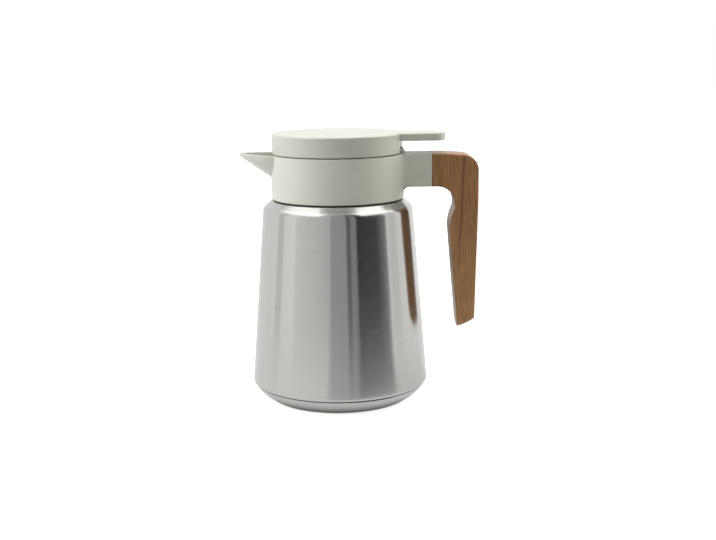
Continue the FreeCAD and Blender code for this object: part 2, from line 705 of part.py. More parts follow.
def lid_cover():
    """Cap and thumb lever in one moulding, with the hinge lugs under its back edge."""
    end = LID_R + LEVER_LENGTH
    half = LEVER_WIDTH / 2
    lever_z = LID_TOP - LEVER_THICK
    plan = [
        (0, -half, 0),
        (end - LEVER_END_BULGE, -half, LEVER_CORNER),
        (end, 0, LEVER_END_ROUND),
        (end - LEVER_END_BULGE, half, LEVER_CORNER),
        (0, half, 0),
    ]
    lever = outline_face(plan, flat).extrude(FreeCAD.Vector(0, 0, LEVER_THICK))
    lever.translate(FreeCAD.Vector(0, 0, lever_z))
    body = Part.makeCylinder(LID_R, LID_HEIGHT, FreeCAD.Vector(0, 0, LID_BOTTOM))
    body = body.fuse(lever).removeSplitter()

    def sharp_edge(p, e):
        top = abs(p.z - LID_TOP) < 1e-3
        under_lever = abs(p.z - lever_z) < 1e-3 and math.hypot(p.x, p.y) > LID_R + 1e-3
        return top or under_lever

    body = body.makeFillet(LID_EDGE, edges_where(body, sharp_edge))
    bead = LID_BORE - LID_BEAD
    space = [
        (0, LID_BOTTOM - 1, 0),
        (bead, LID_BOTTOM - 1, 0),
        (bead, FLANGE_Z, 0),
        (LID_BORE, FLANGE_Z, 0),
        (LID_BORE, LID_TOP - LID_WALL, LID_EDGE),
        (0, LID_TOP - LID_WALL, 0),
    ]
    body = body.cut(turned(space))
    body = body.cut(block(NOTCH_FRONT, LID_R + EAR_R, NOTCH_HALF, LID_BOTTOM - 1, NOTCH_TOP))
    for side in (-1, 1):
        low, high = sorted((side * (LUG_OUTER_Y - LUG_WIDTH), side * LUG_OUTER_Y))
        lug = rod_y(LUG_R, low, high)
        web = FreeCAD.Vector(HINGE_X - LUG_R, low, HINGE_Z)
        lug = lug.fuse(Part.makeBox(LUG_R, high - low, LID_TOP - LID_WALL - HINGE_Z, web))
        body = body.fuse(lug)
    return body.cut(rod_y(PIN_R + PIN_RUN_CLEARANCE, -EAR_SPAN, EAR_SPAN)).removeSplitter()


def lid_plug():
    """Bowl under the lid, clipped above the bead of the cover, with a neck for the seal."""
    neck = PLUG_R + PLUG_TAPER - SEAL_WIDTH / 2
    neck_top = PLUG_BOTTOM + SEAL_HEIGHT - PLUG_RISE
    inside = neck - PLUG_WALL
    rim = LID_BORE - PLUG_CLEARANCE
    section = [
        (0, PLUG_BOTTOM, 0),
        (neck, PLUG_BOTTOM, SEAL_EDGE),
        (neck, neck_top, 0),
        (PLUG_R, neck_top, 0),
        (PLUG_R + PLUG_TAPER, FLANGE_Z, 0),
        (rim, FLANGE_Z, 0),
        (rim, FLANGE_TOP, 0),
        (inside + PLUG_TAPER, FLANGE_TOP, 0),
        (inside, PLUG_BOTTOM + PLUG_WALL, PLUG_WALL),
        (0, PLUG_BOTTOM + PLUG_WALL, 0),
    ]
    return turned(section).cut(block(NOTCH_FRONT, SPAN, NOTCH_HALF, LID_BOTTOM, LID_TOP))


def lid_seal():
    """Ring on the neck of the plug, which meets the liner floor."""
    bore = PLUG_R + PLUG_TAPER - SEAL_WIDTH / 2 + SEAL_GAP
    low = FLOOR_TOP + SEAL_GAP
    high = PLUG_BOTTOM + SEAL_HEIGHT - PLUG_RISE - SEAL_GAP
    section = [
        (bore, low, 0),
        (bore + SEAL_WIDTH, low, SEAL_EDGE),
        (bore + SEAL_WIDTH, high, SEAL_EDGE),
        (bore, high, 0),
    ]
    return turned(section)


def lid_foam():
    """Insulation between the plug and the cover."""
    inside = PLUG_R + PLUG_TAPER - SEAL_WIDTH / 2 - PLUG_WALL - FOAM_CLEARANCE
    low = PLUG_BOTTOM + PLUG_WALL + FOAM_CLEARANCE
    high = LID_TOP - LID_WALL - FOAM_CLEARANCE
    wide = HINGE_X - LUG_R - LUG_CLEARANCE - FOAM_CLEARANCE
    section = [
        (0, low, 0),
        (inside, low, PLUG_WALL),
        (inside + PLUG_TAPER, FLANGE_TOP + FOAM_CLEARANCE, 0),
        (wide, FLANGE_TOP + FOAM_CLEARANCE, 0),
        (wide, high, 0),
        (0, high, 0),
    ]
    return turned(section).cut(block(NOTCH_FRONT, SPAN, NOTCH_HALF, LID_BOTTOM, LID_TOP))


def hinge_pin():
    """Pin through the ears of the collar and the lugs of the lid."""
    half = EAR_SPAN / 2 - PIN_INSET
    return rod_y(PIN_R, -half, half)


def coil_point(angle):
    """Point of the spring's centre line at a turning angle, and its direction."""
    total = math.radians(360 * COIL_TURNS + 90)
    climb = COIL_PITCH / (2 * math.pi)
    phase = math.radians(270) - angle
    x = HINGE_X + COIL_R * math.cos(phase)
    z = HINGE_Z + COIL_R * math.sin(phase)
    point = FreeCAD.Vector(x, climb * (angle - total / 2), z)
    way = FreeCAD.Vector(COIL_R * math.sin(phase), climb, -COIL_R * math.cos(phase))
    return point, way.normalize()


def tangent_arc(start, bend, end):
    """Arc from start to end whose end tangents meet at bend."""
    middle = (start + end) * 0.5
    half_chord = (end - start).Length / 2
    rise = bend - middle
    turn = math.atan2(rise.Length, half_chord)
    crown = middle + rise * (half_chord * math.tan(turn / 2) / rise.Length)
    return Part.Arc(start, crown, end).toShape()


def biarc(start, way, end, end_way):
    """Two tangent arcs from one point and direction to another."""
    gap = end - start
    both = way + end_way
    slack = 2 * (1 - way.dot(end_way))
    along = gap.dot(both)
    reach = (math.sqrt(along * along + slack * gap.dot(gap)) - along) / slack
    first = start + way * reach
    second = end - end_way * reach
    meet = (first + second) * 0.5
    return [tangent_arc(start, first, meet), tangent_arc(meet, second, end)]


def lid_spring():
    """Torsion spring round the pin, one leg on the bracket and one leg against the plug."""
    quarters = 4 * COIL_TURNS + 1
    stops = [coil_point(math.radians(90) * i) for i in range(quarters + 1)]
    edges = []
    low = stops[0][0] - stops[0][1] * COIL_LEG
    edges.append(Part.makeLine(low, stops[0][0]))
    for (start, way), (end, end_way) in zip(stops, stops[1:]):
        edges += biarc(start, way, end, end_way)
    edges.append(Part.makeLine(stops[-1][0], stops[-1][0] + stops[-1][1] * COIL_LONG_LEG))
    ring = Part.Wire(Part.makeCircle(WIRE_R, low, stops[0][1]))
    return Part.Wire(edges).makePipeShell([ring], True, False)


def spring_gap():
    """Least gap between neighbouring turns of the spring, measured on points."""
    total = math.radians(360 * COIL_TURNS + 90)
    points = [coil_point(total * i / 400)[0] for i in range(401)]
    least = SPAN
    for i, p in enumerate(points):
        for j in range(i + 1, len(points)):
            if (j - i) * total / 400 > math.pi:
                least = min(least, (points[j] - p).Length)
    return least - 2 * WIRE_R


NODES = {
    "outer_shell": outer_shell,
    "inner_flask": inner_flask,
    "flask_bottom": flask_bottom,
    "bottom_plate": bottom_plate,
    "vacuum_seal": vacuum_seal,
    "getter": getter,
    "base_cap": base_cap,
    "base_pad": base_pad,
    "neck_gasket": neck_gasket,
    "collar": collar,
    "pour_liner": pour_liner,
    "handle_grip": handle_grip,
    "handle_inserts": handle_inserts,
    "handle_washers": handle_washers,
    "handle_screws": handle_screws,
    "hinge_pin": hinge_pin,
    "lid_spring": lid_spring,
    "lid_cover": lid_cover,
    "lid_plug": lid_plug,
    "lid_seal": lid_seal,
    "lid_foam": lid_foam,
}

os.makedirs("parts", exist_ok=True)
for name, build in NODES.items():
    shape = build()
    print(name, shape.isValid(), len(shape.Solids), round(shape.Volume / 1000, 2), "cm3")
    shape.exportStep("parts/" + name + ".step")
print("least gap between spring turns", round(spring_gap(), 2), "mm")
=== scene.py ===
"""Dress an insulated pitcher: brushed steel body, pale moulded head and lid, wooden grip.

Metres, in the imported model's frame: Z runs up the body axis, +X to the handle and -X to the spout.
"""
from __future__ import annotations

import logging
import math
from dataclasses import dataclass
from enum import Enum
from typing import Any

import bmesh
import bpy
import numpy as np
from mathutils import Matrix, Vector


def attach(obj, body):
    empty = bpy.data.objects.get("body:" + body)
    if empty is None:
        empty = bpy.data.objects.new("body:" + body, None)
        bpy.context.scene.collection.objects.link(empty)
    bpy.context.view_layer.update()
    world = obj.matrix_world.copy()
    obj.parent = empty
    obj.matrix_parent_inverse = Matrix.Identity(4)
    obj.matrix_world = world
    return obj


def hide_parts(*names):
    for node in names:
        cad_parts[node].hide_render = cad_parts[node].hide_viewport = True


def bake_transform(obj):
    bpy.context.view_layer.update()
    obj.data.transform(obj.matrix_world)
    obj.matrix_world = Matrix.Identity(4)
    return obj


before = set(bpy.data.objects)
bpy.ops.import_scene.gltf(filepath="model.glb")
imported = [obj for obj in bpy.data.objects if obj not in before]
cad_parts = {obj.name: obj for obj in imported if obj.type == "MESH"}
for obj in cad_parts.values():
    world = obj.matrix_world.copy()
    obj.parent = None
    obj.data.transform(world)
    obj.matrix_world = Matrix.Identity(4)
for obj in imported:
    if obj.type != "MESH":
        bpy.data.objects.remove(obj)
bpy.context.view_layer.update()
LOG = logging.getLogger("pitcher")

Colour = tuple[float, float, float]
Point = tuple[float, float, float]
Waves = tuple[float, float, float]
Span = tuple[float, float]

WHITE: Colour = (1.0, 1.0, 1.0)
SHARP_EDGE = math.radians(40.0)  # faces that meet at a larger angle keep a sharp edge
MERGE_DISTANCE = 1e-7  # points nearer than this become one
EDGE_SAMPLES = 6  # samples for the normal of a rounded edge
CRISP = 0.6  # share that each finer octave keeps in a crisp noise


class Body(Enum):
    """Rigid bodies that new pieces ride on."""

    VESSEL = "vessel"
    HEAD = "head"
    LID = "lid"


class Signal:
    """A shader value that takes part in Python arithmetic."""

    def __init__(self, graph: Graph, socket: bpy.types.NodeSocket) -> None:
        """Keep the graph to add nodes to and the socket to read from."""
        self.graph = graph
        self.socket = socket

    def _math(self, operation: str, first: Signal | float, second: Signal | float) -> Signal:
        """Add one Math node for an operation on two values."""
        return self.graph.signal("ShaderNodeMath", {"operation": operation}, {0: first, 1: second})

    def __add__(self, other: Signal | float) -> Signal:
        """Sum of two values."""
        return self._math("ADD", self, other)

    def __sub__(self, other: Signal | float) -> Signal:
        """Difference of two values."""
        return self._math("SUBTRACT", self, other)

    def __rsub__(self, other: Signal | float) -> Signal:
        """Difference with the value on the right."""
        return self._math("SUBTRACT", other, self)

    def __mul__(self, other: Signal | float) -> Signal:
        """Product of two values."""
        return self._math("MULTIPLY", self, other)

    def __truediv__(self, other: Signal | float) -> Signal:
        """Quotient of two values."""
        return self._math("DIVIDE", self, other)

    def __rtruediv__(self, other: Signal | float) -> Signal:
        """Quotient with the value on the right."""
        return self._math("DIVIDE", other, self)

    __radd__ = __add__
    __rmul__ = __mul__

    def larger(self, other: Signal) -> Signal:
        """Larger of two values."""
        return self._math("MAXIMUM", self, other)

    def angle(self, along: Signal) -> Signal:
        """Angle in radians of a point, from its value across and its value along."""
        return self._math("ARCTAN2", self, along)

    def around(self, middle: float, swing: float) -> Signal:
        """A value from 0 to 1, spread evenly about a middle."""
        return middle + (self - 0.5) * swing

    def bell(self, width: float) -> Signal:
        """Bell curve of the value, 1 at zero and falling off over a width."""
        return self._math("POWER", math.e, (self * self) * (-1.0 / (width * width)))


class Graph:
    """The node tree of one material or of the world."""

    def __init__(self, tree: bpy.types.NodeTree) -> None:
        """Empty the tree and start again."""
        self.tree = tree
        tree.nodes.clear()

    def node(self, kind: str, settings: dict[str, Any] | None = None,
             inputs: dict[str | int, Any] | None = None) -> bpy.types.Node:
        """Add a node, set its options and then its sockets.

        Args:
            kind: The node's type name.
            settings: Options by name. A ramp's stops are (place, colour) pairs.
            inputs: Values or signals by socket name or number.

        Returns:
            The new node.
        """
        made = self.tree.nodes.new(kind)
        for key, value in (settings or {}).items():
            if key == "stops":
                self._set_stops(made.color_ramp, value)
            else:
                setattr(made, key, value)
        for key, value in (inputs or {}).items():
            socket = made.inputs[key]
            if isinstance(value, Signal):
                self.tree.links.new(value.socket, socket)
            elif isinstance(value, bpy.types.NodeSocket):
                self.tree.links.new(value, socket)
            else:
                socket.default_value = value
        return made

    @staticmethod
    def _set_stops(ramp: bpy.types.ColorRamp, stops: list[tuple[float, Colour]]) -> None:
        """Give a ramp its stops, in order.

        Args:
            ramp: The ramp.
            stops: (place, colour) of each stop.
        """
        while len(ramp.elements) < len(stops):
            ramp.elements.new(1.0)
        for element, (place, colour) in zip(ramp.elements, stops):
            element.position = place
            element.color = opaque(colour)

    def signal(self, kind: str, settings: dict[str, Any] | None = None,
               inputs: dict[str | int, Any] | None = None, output: str | int = 0) -> Signal:
        """Add a node and return one of its outputs as a signal.

        Args:
            kind: The node's type name.
            settings: Options by name.
            inputs: Values or signals by socket name or number.
            output: Name or number of the output.

        Returns:
            The output.
        """
        return Signal(self, self.node(kind, settings, inputs).outputs[output])

    def where(self) -> Signal:
        """Object coordinates."""
        return self.signal("ShaderNodeTexCoord", output="Object")

    def axes(self) -> tuple[Signal, ...]:
        """X, Y and Z of the Object coordinates."""
        split = self.node("ShaderNodeSeparateXYZ", None, {"Vector": self.where()})
        return tuple(Signal(self, socket) for socket in split.outputs)

    def rays(self) -> tuple[Signal, ...]:
        """Find what kind of ray meets the surface.

        Returns:
            1 or 0 for a ray to the eye, for a mirror ray and for a ray that passed through.
        """
        path = self.node("ShaderNodeLightPath")
        kinds = ("Is Camera Ray", "Is Glossy Ray", "Is Transmission Ray")
        return tuple(Signal(self, path.outputs[kind]) for kind in kinds)

    def noise(self, waves: Waves, octaves: float = 2.0, finer: float = 0.5) -> Signal:
        """Cloudy noise from 0 to 1 on stretched Object coordinates.

        Args:
            waves: Waves per metre along each axis.
            octaves: Number of octaves.
            finer: Share that each finer octave keeps.

        Returns:
            The noise value.
        """
        place = self.signal("ShaderNodeMapping", None, {"Vector": self.where(), "Scale": waves})
        sockets = {"Vector": place, "Scale": 1.0, "Detail": octaves, "Roughness": finer}
        return self.signal("ShaderNodeTexNoise", {"noise_dimensions": "3D"}, sockets, "Fac")

    def spread(self, value: Signal, span: Span, ends: Span = (0.0, 1.0),
               kind: str = "SMOOTHSTEP") -> Signal:
        """Value carried from one span to another and held at its ends.

        Args:
            value: The value.
            span: Where it starts and stops.
            ends: What it becomes there.
            kind: The Map Range node's way of going between.

        Returns:
            The new value.
        """
        sockets = {"Value": value, "From Min": span[0], "From Max": span[1],
                   "To Min": ends[0], "To Max": ends[1]}
        return self.signal("ShaderNodeMapRange", {"interpolation_type": kind}, sockets)

    def ramp(self, value: Signal, stops: list[tuple[float, Colour]]) -> Signal:
        """Colour of a value on a ramp."""
        return self.signal("ShaderNodeValToRGB", {"stops": stops}, {"Fac": value}, "Color")

    def shades(self, value: Signal, colour: Colour, factors: Span,
               places: Span = (0.3, 0.7)) -> Signal:
        """Colour from its darkest to its lightest shade.

        Args:
            value: The value that picks the shade.
            colour: The colour itself.
            factors: Brightness of the two shades.
            places: Values at which they lie.

        Returns:
            The shaded colour.
        """
        return self.ramp(value, [(at, shade(colour, by)) for at, by in zip(places, factors)])

    def mix(self, first: Any, second: Any, share: Any) -> Signal:
        """Blend of two colours by a share."""
        sockets = {0: share, 6: first, 7: second}
        return self.signal("ShaderNodeMix", {"data_type": "RGBA"}, sockets, 2)

    def bump(self, height: Signal, depth: float, strength: float, edge: float = 0.0) -> Signal:
        """Normal tilted by a height map.

        Args:
            height: The height map.
            depth: Its depth in metres.
            strength: Its share.
            edge: Radius to which sharp edges are shaded round, or 0.

        Returns:
            The normal.
        """
        sockets = {"Height": height, "Distance": depth, "Strength": strength}
        if edge > 0:
            settings = {"samples": EDGE_SAMPLES}
            sockets["Normal"] = self.signal("ShaderNodeBevel", settings, {"Radius": edge})
        return self.signal("ShaderNodeBump", None, sockets)

    def surface(self, **sockets: Any) -> None:
        """Principled shader joined to the output.

        Args:
            **sockets: Values or signals by socket name, in small letters with underscores.
        """
        named = {key.replace("_", " ").title(): value for key, value in sockets.items()}
        shader = self.node("ShaderNodeBsdfPrincipled", None, named)
        self.node("ShaderNodeOutputMaterial", None, {"Surface": shader.outputs["BSDF"]})


def opaque(colour: Colour) -> tuple[float, float, float, float]:
    """Colour with full alpha."""
    return (*colour, 1.0)


def shade(colour: Colour, factor: float) -> Colour:
    """Colour made lighter or darker by a factor."""
    return tuple(min(1.0, part * factor) for part in colour)


def new_material(name: str) -> tuple[bpy.types.Material, Graph]:
    """Make an empty material.

    Args:
        name: Name of the finish or of the piece that it is for.

    Returns:
        The material and its graph.
    """
    made = bpy.data.materials.new(name + "_finish")
    made.use_nodes = True
    return made, Graph(made.node_tree)


@dataclass(frozen=True)
class Finish:
    """A named finish with one procedural material."""

    name: str

    def material(self) -> bpy.types.Material:
        """Find the finish's material, or make it on first use.

        Returns:
            The material.
        """
        found = bpy.data.materials.get(self.name + "_finish")
        if found is not None:
            return found
        made, graph = new_material(self.name)
        self.paint(graph)
        return made

    def paint(self, graph: Graph) -> None:
        """Build the material's nodes."""
        raise NotImplementedError

    def dress(self, piece: bpy.types.Object) -> None:
        """Put the finish on a piece."""
        piece.data.materials.clear()
        piece.data.materials.append(self.material())


@dataclass(frozen=True)
class BrushedSteel(Finish):
    """Steel brushed round the body axis, so that highlights stretch up and down."""

    colour: Colour = (0.60, 0.597, 0.575)
    shades: Span = (0.96, 1.035)
    roughness: float = 0.19
    rough_swing: float = 0.05
    stretch: float = 0.95
    stretch_turn: float = 0.25
    line_waves: Waves = (18.0, 18.0, 1600.0)
    line_share: float = 0.55
    line_depth: float = 0.00003
    line_strength: float = 0.25
    streak_waves: Waves = (110.0, 110.0, 1000.0)
    streak_share: float = 0.45
    haze: float = 0.012
    haze_swing: float = 0.27

    def paint(self, graph: Graph) -> None:
        """Fine rings vary colour, roughness and normal, and streaks scatter a little light.

        Args:
            graph: Graph of the material.
        """
        lines = graph.noise(self.line_waves, finer=CRISP)
        streaks = graph.noise(self.streak_waves, finer=CRISP)
        tone = lines * self.line_share + streaks * self.streak_share
        graph.surface(base_color=graph.shades(tone, self.colour, self.shades),
                      metallic=streaks.around(1.0 - self.haze, -self.haze_swing),
                      roughness=tone.around(self.roughness, self.rough_swing),
                      anisotropic=self.stretch, anisotropic_rotation=self.stretch_turn,
                      normal=graph.bump(lines, self.line_depth, self.line_strength))


@dataclass(frozen=True)
class SatinMetal(Finish):
    """Plain metal with a soft, slightly cloudy sheen."""

    colour: Colour = (0.60, 0.60, 0.60)
    roughness: float = 0.35
    rough_swing: float = 0.16
    shades: Span = (0.92, 1.05)
    cloud_waves: Waves = (120.0, 120.0, 120.0)
    cloud_octaves: float = 4.0
    scratch_waves: Waves = (2200.0, 90.0, 900.0)
    scratch_depth: float = 0.00002
    scratch_strength: float = 0.2

    def paint(self, graph: Graph) -> None:
        """Cloudy colour and roughness with fine scratches.

        Args:
            graph: Graph of the material.
        """
        cloud = graph.noise(self.cloud_waves, self.cloud_octaves)
        scratch = graph.noise(self.scratch_waves)
        graph.surface(base_color=graph.shades(cloud, self.colour, self.shades), metallic=1.0,
                      roughness=cloud.around(self.roughness, self.rough_swing),
                      normal=graph.bump(scratch, self.scratch_depth, self.scratch_strength))


@dataclass(frozen=True)
class MouldedPlastic(Finish):
    """Matte plastic with the fine spark texture of its mould."""

    colour: Colour = (0.573, 0.587, 0.499)
    roughness: float = 0.40
    rough_swing: float = 0.08
    shades: Span = (0.965, 1.03)
    cloud_waves: Waves = (30.0, 30.0, 30.0)
    cloud_octaves: float = 3.0
    cloud_share: float = 0.7
    spark_waves: Waves = (2400.0, 2400.0, 2400.0)
    spark_share: float = 0.3
    spark_depth: float = 0.00003
    spark_strength: float = 0.3
    edge: float = 0.0012

    def paint(self, graph: Graph) -> None:
        """Spark grain in the normal, with faint clouds in colour and roughness.

        Args:
            graph: Graph of the material.
        """
        cloud = graph.noise(self.cloud_waves, self.cloud_octaves)
        spark = graph.noise(self.spark_waves, finer=CRISP)
        tone = cloud * self.cloud_share + spark * self.spark_share
        graph.surface(base_color=graph.shades(tone, self.colour, self.shades),
                      roughness=cloud.around(self.roughness, self.rough_swing),
                      normal=graph.bump(spark, self.spark_depth, self.spark_strength, self.edge))


@dataclass(frozen=True)
class Silicone(Finish):
    """Soft rubber with a dusty, dull face."""

    colour: Colour = (0.75, 0.75, 0.72)
    roughness: float = 0.62
    rough_swing: float = 0.15
    shades: Span = (0.9, 1.1)
    shade_places: Span = (0.35, 0.75)
    dust_waves: Waves = (160.0, 160.0, 160.0)
    dust_octaves: float = 5.0
    dust_finer: float = 0.65
    pebble_waves: Waves = (1500.0, 1500.0, 1500.0)
    pebble_octaves: float = 1.0
    pebble_depth: float = 0.00004
    pebble_strength: float = 0.35

    def paint(self, graph: Graph) -> None:
        """Dusty clouds in colour and roughness over a fine pebbled normal.

        Args:
            graph: Graph of the material.
        """
        dust = graph.noise(self.dust_waves, self.dust_octaves, self.dust_finer)
        pebble = graph.noise(self.pebble_waves, self.pebble_octaves)
        colour = graph.shades(dust, self.colour, self.shades, self.shade_places)
        graph.surface(base_color=colour, roughness=dust.around(self.roughness, self.rough_swing),
                      normal=graph.bump(pebble, self.pebble_depth, self.pebble_strength))


@dataclass(frozen=True)
class OiledWood(Finish):
    """Warm brown board with its grain up the grip and one darker vein."""

    early: Colour = (0.545, 0.280, 0.104)
    late: Colour = (0.216, 0.101, 0.034)
    red: Colour = (0.390, 0.166, 0.074)
    vein: Colour = (0.150, 0.062, 0.028)
    roughness: float = 0.34
    rough_swing: float = 0.2
    middle_z: float = 0.118
    broad_waves: Waves = (170.0, 170.0, 6.0)
    broad_share: float = 0.18
    growth_waves: Waves = (700.0, 700.0, 18.0)
    growth_share: float = 0.34
    streak_waves: Waves = (1200.0, 1200.0, 90.0)
    streak_share: float = 0.48
    # Painted light: the board is made paler lower down, as if lit from the floor below.
    painted_bounce_down: float = 1.6
    tone_places: Span = (0.31, 0.69)
    band_waves: Waves = (260.0, 260.0, 5.0)
    band_octaves: float = 1.0
    band_start: float = 0.45
    band_gain: float = 1.3
    vein_x: float = 0.0852
    vein_width: float = 0.0009
    vein_lean: float = 0.045
    vein_slant: float = 0.25
    vein_drift: float = 0.005
    drift_waves: Waves = (30.0, 40.0, 9.0)
    vein_heights: Span = (0.085, 0.135)
    vein_fade: Span = (0.15, 1.0)
    vein_base: float = 0.55
    vein_gain: float = 0.6
    fibre_waves: Waves = (2600.0, 2600.0, 220.0)
    fibre_depth: float = 0.00006
    fibre_strength: float = 0.3
    edge: float = 0.0022

    def paint(self, graph: Graph) -> None:
        """Growth lines and fibres stretched along Z over red bands, a vein that fades down, and
        painted light that makes the board paler lower down.

        Args:
            graph: Graph of the material.
        """
        x, y, z = graph.axes()
        drift = graph.noise(self.drift_waves).around(0.0, self.vein_drift)
        across = x + y * self.vein_slant - (z - self.middle_z) * self.vein_lean + drift
        broad = graph.noise(self.broad_waves)
        growth = graph.noise(self.growth_waves, finer=CRISP)
        streak = graph.noise(self.streak_waves, finer=CRISP)
        bands = graph.noise(self.band_waves, self.band_octaves)
        fibre = graph.noise(self.fibre_waves, finer=CRISP)
        grain = broad * self.broad_share + growth * self.growth_share + streak * self.streak_share
        # Painted light: the grain's tone rises lower down the grip.
        tone = grain + (self.middle_z - z) * self.painted_bounce_down
        board = graph.ramp(tone, list(zip(self.tone_places, (self.late, self.early))))
        board = graph.mix(board, opaque(self.red), (bands - self.band_start) * self.band_gain)
        fade = graph.spread(z, self.vein_heights, self.vein_fade)
        line = (across - self.vein_x).bell(self.vein_width)
        depth = line * (self.vein_base + growth * self.vein_gain) * fade
        graph.surface(base_color=graph.mix(board, opaque(self.vein), depth),
                      roughness=streak.around(self.roughness, self.rough_swing),
                      normal=graph.bump(fibre, self.fibre_depth, self.fibre_strength, self.edge))


@dataclass(frozen=True)
class OpenFoam(Finish):
    """Pale insulation foam with small cells."""

    colour: Colour = (0.86, 0.85, 0.78)
    shades: Span = (0.7, 1.0)
    shade_places: Span = (0.0, 0.6)
    roughness: float = 0.8
    rough_gain: float = 0.1
    cell_density: float = 700.0
    cell_depth: float = 0.0003
    cell_strength: float = 0.6

    def paint(self, graph: Graph) -> None:
        """Round cells dent the normal, and each cell's dented middle is painted darker: painted
        shade in its hollow.

        Args:
            graph: Graph of the material.
        """
        sockets = {"Vector": graph.where(), "Scale": self.cell_density}
        cells = graph.signal("ShaderNodeTexVoronoi", {"feature": "F1"}, sockets, "Distance")
        # Painted shade: each cell is darker at its dented middle.
        colour = graph.shades(cells, self.colour, self.shades, self.shade_places)
        graph.surface(base_color=colour, roughness=self.roughness + cells * self.rough_gain,
                      normal=graph.bump(cells, self.cell_depth, self.cell_strength))


BODY_STEEL = BrushedSteel("brushed_body")
FLASK_STEEL = SatinMetal("flask_steel", (0.62, 0.62, 0.61), 0.3)
FASTENER_STEEL = SatinMetal("fastener_steel", (0.52, 0.52, 0.52), 0.32)
BRASS = SatinMetal("brass", (0.75, 0.56, 0.26), 0.3)
SAGE = MouldedPlastic("sage_plastic")
# Painted shade: the lid's copy of the sage plastic is darker, standing for the lid side lying in
# less light than the collar.
SAGE_SHADED_LID = MouldedPlastic("sage_lid_painted_shade", (0.514, 0.525, 0.447), 0.32)
LINER = MouldedPlastic("liner_plastic", (0.47, 0.48, 0.42), 0.45)
PLUG = MouldedPlastic("plug_plastic", (0.72, 0.73, 0.69), 0.42)
PALE_SILICONE = Silicone("silicone")
DARK_SILICONE = Silicone("dark_silicone", (0.05, 0.05, 0.05))
WOOD = OiledWood("brown_wood")
FOAM = OpenFoam("foam")


def rounded_path(corners: np.ndarray, pitch: float, arc_steps: int) -> np.ndarray:
    """Points along a path of straight runs with rounded corners.

    Each corner (a, b, radius) is cut back by radius / tan(half angle) on both sides and filled with
    an arc about the point where the two offset runs meet. Runs are divided evenly.

    Args:
        corners: Rows of (a, b, radius).
        pitch: Longest step on a straight run.
        arc_steps: Steps on each arc.

    Returns:
        Rows of (a, b).
    """
    last = corners[0, :2]
    runs = [last[None]]
    for i in range(1, len(corners)):
        arc = corners[i, None, :2]
        if i < len(corners) - 1 and corners[i, 2] > 0:
            arc = corner_arc(corners[i - 1, :2], corners[i], corners[i + 1, :2], arc_steps)
        run = arc[0] - last
        count = max(1, int(math.ceil(np.linalg.norm(run) / pitch)))
        runs.append(last + np.linspace(0, 1, count + 1)[1:, None] * run)
        runs.append(arc[1:])
        last = arc[-1]
    return np.concatenate(runs)


def corner_arc(before: np.ndarray, corner: np.ndarray, after: np.ndarray,
               steps: int) -> np.ndarray:
    """Tangent arc in a corner: its centre lies on the bisector, and it runs from side to side.

    Args:
        before: Point before the corner.
        corner: (a, b, radius) of the corner.
        after: Point after the corner.
        steps: Steps on the arc.

    Returns:
        Rows of (a, b) along the arc.
    """
    u = (before - corner[:2]) / np.linalg.norm(before - corner[:2])
    v = (after - corner[:2]) / np.linalg.norm(after - corner[:2])
    half = math.acos(float(np.clip(u @ v, -1, 1))) / 2
    middle = (u + v) / np.linalg.norm(u + v)
    centre = corner[:2] + middle * corner[2] / math.sin(half)
    swing = np.linspace(half - math.pi / 2, math.pi / 2 - half, steps + 1)
    side = (v - u) / np.linalg.norm(v - u)
    return centre + corner[2] * (np.sin(swing)[:, None] * side - np.cos(swing)[:, None] * middle)


def beside(corners: np.ndarray, distance: float) -> np.ndarray:
    """The same path moved to its left: corners shift along the mitre, rounds stay concentric.

    Args:
        corners: Rows of (a, b, radius).
        distance: How far to move.

    Returns:
        Rows of (a, b, radius).
    """
    steps = np.diff(corners[:, :2], axis=0)
    ways = steps / np.linalg.norm(steps, axis=1, keepdims=True)
    first = np.vstack([ways[:1], ways])
    second = np.vstack([ways, ways[-1:]])
    both = first + second
    share = distance / (1 + (first * second).sum(1))
    turn = np.sign(first[:, 0] * second[:, 1] - first[:, 1] * second[:, 0])
    moved = corners.copy()
    moved[:, 0] -= both[:, 1] * share
    moved[:, 1] += both[:, 0] * share
    moved[:, 2] = np.where(corners[:, 2] > 0, np.maximum(corners[:, 2] - turn * distance, 0), 0)
    return moved


def turned(profile: np.ndarray, segments: int) -> np.ndarray:
    """Surface of revolution: (r cos t, r sin t, z) for each profile point and each angle t.

    Args:
        profile: Rows of (r, z).
        segments: Steps round the axis.

    Returns:
        Grid of points, profile by angle.
    """
    t = np.linspace(0, 2 * math.pi, segments, endpoint=False)
    r = profile[:, 0, None]
    z = np.broadcast_to(profile[:, 1, None], (len(profile), segments))
    return np.stack([r * np.cos(t), r * np.sin(t), z], axis=2)


